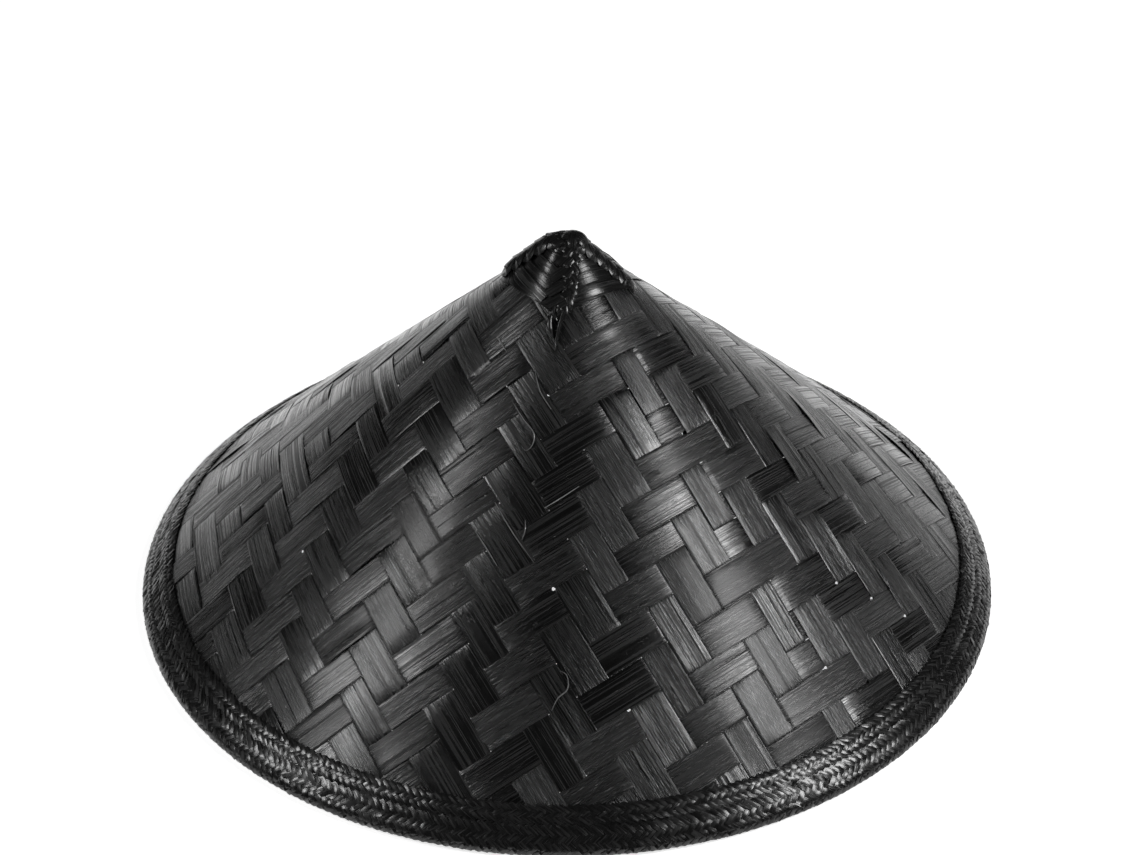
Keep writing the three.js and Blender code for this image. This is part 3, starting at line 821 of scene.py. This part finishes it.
skin = Skin()
HALF_U = [(0.0, 33.9), (3.2, 35.2), (7.0, 39.5), (11.0, 46.0), (14.2, 53.5), (16.6, 62.0), (19.4, 71.0), (24.5, 80.0), (30.5, 87.5), (33.8, 91.6)]
half_u = np.array(HALF_U)
full = np.concatenate([half_u[::-1][:-1] * (-1, 1), half_u])
full[:, 0] *= UNIT / 31.9
line = evenly(catmull(full, 6), 2.0)
for i in range(18):
    u = line[:, 0] + i * UNIT
    cyc = np.abs(line[:, 0]) / (UNIT / 2)
    sign = np.where(line[:, 0] < 0, -1.0, 1.0)
    h = sign * 0.5 * np.interp(cyc, [0, 0.35, 0.8, 1.25, 1.7, 2.2], [0, 0, 1, 1, -0.4, -1])
    xy = np.stack([u, line[:, 1] + rng.uniform(-0.4, 0.4)], -1)
    strand(skin, xy, h, 5.0 + rng.uniform(-0.3, 0.3), 0.6, lambda a, b, n: on_band(a, b, n), (rng.random(), rng.random(), 0), number=float(i), bulge=0.1)
skin.build("head_band_strips", INNER, replaces=("head_ring_band",))

k = 200
az = 2 * np.pi * np.arange(k) / k
path = turned(az, 91.4 + 0.15 * np.sin(3 * az), 31.0 + 0.2 * np.sin(2 * az + 1))
skin = Skin()
tube(skin, path, 2.25 + 0.3 * np.exp(-(((az - 3.6) % (2 * np.pi)) / 0.07) ** 2), 14, (0.8, 0.3, 0), loop=True,
     relief=lambda a, s: 1 - 0.05 * np.cos(4 * a))
skin.build("head_hoop", HOOP, replaces=("head_ring_hoop",))

# =============================================================== cap on the tip
TIP = np.array([[0, -3.4], [2, -1.9], [4, -0.7], [7, 0.1], [11, 0.2], [16, 0], [400, 0]])


def on_cap(x, y, n, near=0.0):
    p = on_cone(x, y, n, near)
    r = np.hypot(x, y) * COS
    p[..., 2] += np.interp(r, TIP[:, 0], TIP[:, 1])
    return p


def polar(phi, rho):
    a = math.radians(phi)
    return np.array([math.sin(a), math.cos(a)]) * rho


skin = Skin()
# thin backing under the strips
k = 120
az = 2 * np.pi * np.arange(k) / k
phi = az * COS
from_arm = np.abs((np.degrees(az) + 6 + 45 + 720) % 90 - 45) * COS
edge_rho = 38.0 * math.cos(math.radians(33.75)) / np.cos(np.radians(33.75 - from_arm))
f = np.array([1, 0.6, 0.3, 0.03, 0.03, 0.3, 0.6, 1])
nn = np.array([0.25, 0.25, 0.25, 0.25, 0.95, 0.95, 0.95, 0.75])
rho = edge_rho[:, None] * f[None]
rings = on_cap(rho * np.sin(phi)[:, None], rho * np.cos(phi)[:, None], np.broadcast_to(nn, rho.shape), phi[:, None])
skin.add(rings, np.stack([rho, phi[:, None] * rho, 0 * rho], -1), (0.2, 0.5, 0), loop=True)


def web_strip(a, b, width, n0, n1, curve=0.0, number=0.0):
    """A narrow strip from a to b, each (direction, distance from the tip), bowed outwards."""
    pa, pb = polar(*a), polar(*b)
    t = np.linspace(0, 1, 14)
    p = pa + (pb - pa) * t[:, None]
    out = unit((pa + pb)[None] / 2)[0]
    p = p + out * (curve * np.sin(np.pi * t))[:, None]
    h = n0 + (n1 - n0) * t + 0.25 * np.sin(np.pi * t)
    near = math.radians((a[0] + b[0]) / 2)
    strand(skin, p, h, width, 0.45, lambda x, y, n: on_cap(x, y, n, near), (rng.random(), rng.random() * 0.6, 0), number=number, bulge=0.03,
           roll=rng.normal(0.12, 0.03))


# front left: broad tapes from the left plait to the valley, the next row folded back to the front plait
for q, (a, b, w) in enumerate((((-46, 6.0), (-6, 8.5), 4.6), ((-50, 11.0), (-8, 14.0), 4.8), ((-52, 16.0), (-10.5, 19.5), 4.9),
                               ((-60, 21.5), (-14.5, 25.0), 5.0), ((-70, 27.0), (-16.5, 30.6), 5.2))):
    web_strip(a, b, w, 1.45, 1.2 + 0.06 * q, 0.2, 40 + q)
for q, (a, b, w) in enumerate((((14, 8.5), (-12, 15.0), 4.0), ((12.5, 15.0), (-15.5, 22.0), 4.4), ((7, 21.6), (-15.5, 28.5), 4.6),
                               ((4, 28.0), (-12.5, 33.8), 4.2))):
    web_strip(a, b, w, 1.75, 1.85 + 0.05 * q, 0.1, 50 + q)
for q, (a, b, w) in enumerate((((9, 7.5), (58, 9.0), 5.2), ((9, 12.8), (58, 15.0), 5.5), ((9, 18.4), (58, 21.4), 5.7),
                               ((7, 24.0), (58, 27.8), 5.8), ((5, 29.6), (58, 34.4), 5.8))):
    web_strip(a, b, w, 1.45 + 0.05 * q, 1.55 + 0.05 * q, -0.6, 60 + q)
for lo, hi in ((63.0, 130.5), (130.5, 192.0)):
    for q in range(7):
        ra = 6.0 + 4.4 * q
        valley = (lo + hi) / 2
        web_strip((lo + 4, ra), (valley + 1.5, ra * 0.98), 4.7, 1.5, 1.2, 0.4, 70 + q)
        web_strip((valley - 1.0, ra * 0.98 + 0.8), (hi - 4, ra - 1.0), 4.7, 1.6, 1.6, 0.4, 80 + q)


def arm(points, wide, width, period, high, number, near, strands=3):
    """A plait of three strips along a ridge, from the tip out, narrowing at its end."""
    line = evenly(catmull(points, 12), 0.25)
    d = np.concatenate([[0], np.cumsum(np.linalg.norm(np.diff(line, axis=0), axis=1))])
    t = unit(np.gradient(line, axis=0))
    side = np.stack([t[:, 1], -t[:, 0]], -1)
    total = d[-1]
    for k in range(strands):
        u = np.arange(0.0, total, 0.55)
        phase = (u / period + k / strands) % 1
        tri = np.where(phase < 0.5, phase * 2, 2 - phase * 2)
        tri = 0.5 - 0.5 * np.cos(np.pi * tri) * (0.75 + 0.25 * np.abs(np.cos(np.pi * tri)))
        taper = np.interp(u, [0, total * 0.18, total * 0.8, total], [0.75, 1, 0.95, 0.55])
        v = (tri - 0.5) * wide * taper
        level = phase * 2 * strands
        # each strand goes over as it comes in from either side and under as it leaves
        h = np.where(phase < 0.5, np.cos((phase * 2) * np.pi * 1.0), np.cos((phase * 2 - 1) * np.pi))
        h = -h * 0.3 * np.interp(u, [0, total * 0.85, total], [1, 1, 0.2])
        foot = np.interp(u, [0, total * 0.75, total], [1.75, 1.75, 0.55])
        cx = np.stack([np.interp(u, d, line[:, i]) for i in range(2)], -1)
        cs = np.stack([np.interp(u, d, side[:, i]) for i in range(2)], -1)
        p = cx + cs * v[:, None]
        reach = wide / 2 + width / 2
        dome = high * np.clip(1 - (v / reach) ** 2, 0, 1) * np.interp(u, [0, 7, total * 0.85, total], [0.3, 1, 0.9, 0.25])
        roll = -2 * high * v / reach**2
        roll = np.clip(roll, -0.75, 0.75)
        tt = unit(np.gradient(p, axis=0))
        ss = np.stack([tt[:, 1], -tt[:, 0]], -1)
        lean = np.sum(ss * cs, -1) * roll
        c, hh = strip_ring(np.full(len(u), width) * np.interp(u, [0, total * 0.9, total], [1, 1, 0.5]), 0.5, bulge=0.18)
        at = p[:, None] + ss[:, None] * c[..., None]
        rings = on_cap(at[..., 0], at[..., 1], (foot + dome + h)[:, None] + hh + c * lean[:, None], math.radians(near))
        lay = np.stack(np.broadcast_arrays(c, (u * 1.3)[:, None], number + k), -1)
        skin.add(rings, lay, (rng.random(), rng.random() * 0.5, 0))


arm([polar(63, 2), polar(63, 14), polar(63, 27), polar(62.5, 40.5)], 7.6, 4.6, 19, 1.8, 100, 63)
arm([polar(130.5, 2), polar(130.5, 20), polar(130.5, 40)], 7.6, 4.3, 17, 1.5, 110, 130.5)
arm([polar(192, 2), polar(192, 18), polar(192, 37)], 8.4, 5.0, 20, 2.3, 120, 192)
arm([np.array(p, float) for p in ((0.6, 2), (2.6, 10), (2.5, 20), (1.6, 28), (-1.2, 35), (-3.6, 40))], 4.4, 2.9, 14.5, 0.5, 130, 0)


def leaf(points, widths, height, bulge, number):
    line = evenly(catmull([np.array(p, float) for p in points], 12), 0.8)
    t = np.linspace(0, 1, len(line))
    w = np.interp(t, np.linspace(0, 1, len(widths)), widths)
    h = np.interp(t, np.linspace(0, 1, len(height)), height)
    strand(skin, line, h, w, 0.4, on_cap, (rng.random(), 0.2, 0), number=number, bulge=bulge)


leaf([(-5.2, 36.5), (-6.6, 40), (-6.6, 43.5), (-5.4, 47.2)], [1.0, 2.2, 2.3, 0.4], [1.6, 2.2, 1.9, 0.7], 0.5, 140)
leaf([(-0.6, 35.5), (-2.4, 41), (-3.6, 47), (-4.6, 54)], [1.6, 1.4, 1.0, 0.3], [2.0, 1.6, 1.1, 0.4], 0.3, 141)
leaf([(-4.6, 33.5), (-5.0, 36), (-4.3, 38.5), (-3.4, 40)], [1.6, 1.5, 1.4, 0.6], [1.8, 2.3, 2.2, 1.4], 0.4, 142)

# strips crossing over the rounded tip, which leans a little to the right
LEAN = 3.4
az = 2 * np.pi * np.arange(28) / 28
pad = np.array([[0.2, 169.5], [6.4, 169.5], [6.4, 172.4], [5.6, 174.9], [3.6, 176.9], [1.6, 177.6], [0.2, 177.7]])
rings = turned(az[:, None], pad[None, :, 0], pad[None, :, 1]) + (LEAN, 0, 0)
skin.add(rings, np.stack(np.broadcast_arrays(pad[None, :, 0], az[:, None] * 5, 9.0), -1), (0.1, 0.3, 0), loop=True)
for i, (turn, shift) in enumerate(((-52, -2.4), (28, 2.2), (80, -1.2), (-10, 0.6), (62, 2.0))):
    a = math.radians(turn)
    r = np.linspace(-7.4, 7.4, 17)
    rad = np.hypot(r, shift)
    z = 177.75 + 0.17 * i - 0.02 * rad**2 - 0.0105 * rad**3
    x = r * math.sin(a) + shift * math.cos(a)
    y = -r * math.cos(a) + shift * math.sin(a)
    up = np.stack([x * 0.12, y * 0.12, np.ones_like(x)], -1)
    ribbon(skin, np.stack([x + LEAN, y, z], -1), unit(up), 4.4 * np.interp(np.abs(r), [0, 4, 7.4], [1, 1, 0.6]), 0.45, (rng.random(), 0.2, 0), number=150 + i, bulge=0.22)
skin.build("tip_cap", CAP, replaces=("apex_cap",))

# =============================================================== studio
floor_mesh = bpy.data.meshes.new("floor")
floor_mesh.from_pydata([(-6, -6, 0), (6, -6, 0), (6, 6, 0), (-6, 6, 0)], [], [(0, 1, 2, 3)])
floor = bpy.data.objects.new("floor", floor_mesh)
bpy.context.scene.collection.objects.link(floor)
m, nt, p = nodes_of("pale_floor")
p.inputs["Base Color"].default_value = grey(0.9)
p.inputs["Roughness"].default_value = 0.8
p.inputs["Specular IOR Level"].default_value = 0
p.inputs["Emission Color"].default_value = grey(1)
p.inputs["Emission Strength"].default_value = 0.75
floor_mesh.materials.append(m)
floor.location.z = -0.0002

world = bpy.data.worlds.new("studio")
bpy.context.scene.world = world
world.use_nodes = True
nt = world.node_tree
nt.nodes.clear()
out = nt.nodes.new("ShaderNodeOutputWorld")
bg = nt.nodes.new("ShaderNodeBackground")
nt.links.new(bg.outputs[0], out.inputs[0])
up = split(nt, nt.nodes.new("ShaderNodeTexCoord").outputs["Generated"])[2]
bg.inputs["Color"].default_value = (1, 1, 1, 1)
low = spread(nt, up, -0.05, 0.1, 1.0, 0.0)
behind = spread(nt, split(nt, nt.nodes["Texture Coordinate"].outputs["Generated"])[1], -0.1, 0.55, 0.12, 1.0)
leftward = spread(nt, split(nt, nt.nodes["Texture Coordinate"].outputs["Generated"])[0], -0.75, -0.35, 0.12, 1.0)
put(bg.inputs["Strength"], maths(nt, "MULTIPLY_ADD", maths(nt, "MULTIPLY", maths(nt, "MULTIPLY", low, behind), leftward), 2.4, 0.014), nt)


def softbox(name, direction, distance, size, power, spread_deg=180):
    light = bpy.data.lights.new(name, "AREA")
    light.shape = "RECTANGLE"
    light.size, light.size_y = size
    light.energy = power
    light.spread = math.radians(spread_deg)
    ob = bpy.data.objects.new(name, light)
    bpy.context.scene.collection.objects.link(ob)
    d = Vector(direction).normalized()
    ob.location = Vector((0, 0, 0.08)) + d * distance
    ob.rotation_mode = "QUATERNION"
    ob.rotation_quaternion = d.to_track_quat("Z", "Y")
    return ob


softbox("left_box", (-0.735, -0.24, 0.635), 1.7, (0.38, 0.42), 8.6)
softbox("right_box", (0.70, -0.275, 0.664), 1.7, (0.45, 0.44), 14.3)

scene = bpy.context.scene
scene.view_settings.view_transform = "Standard"
scene.view_settings.look = "None"
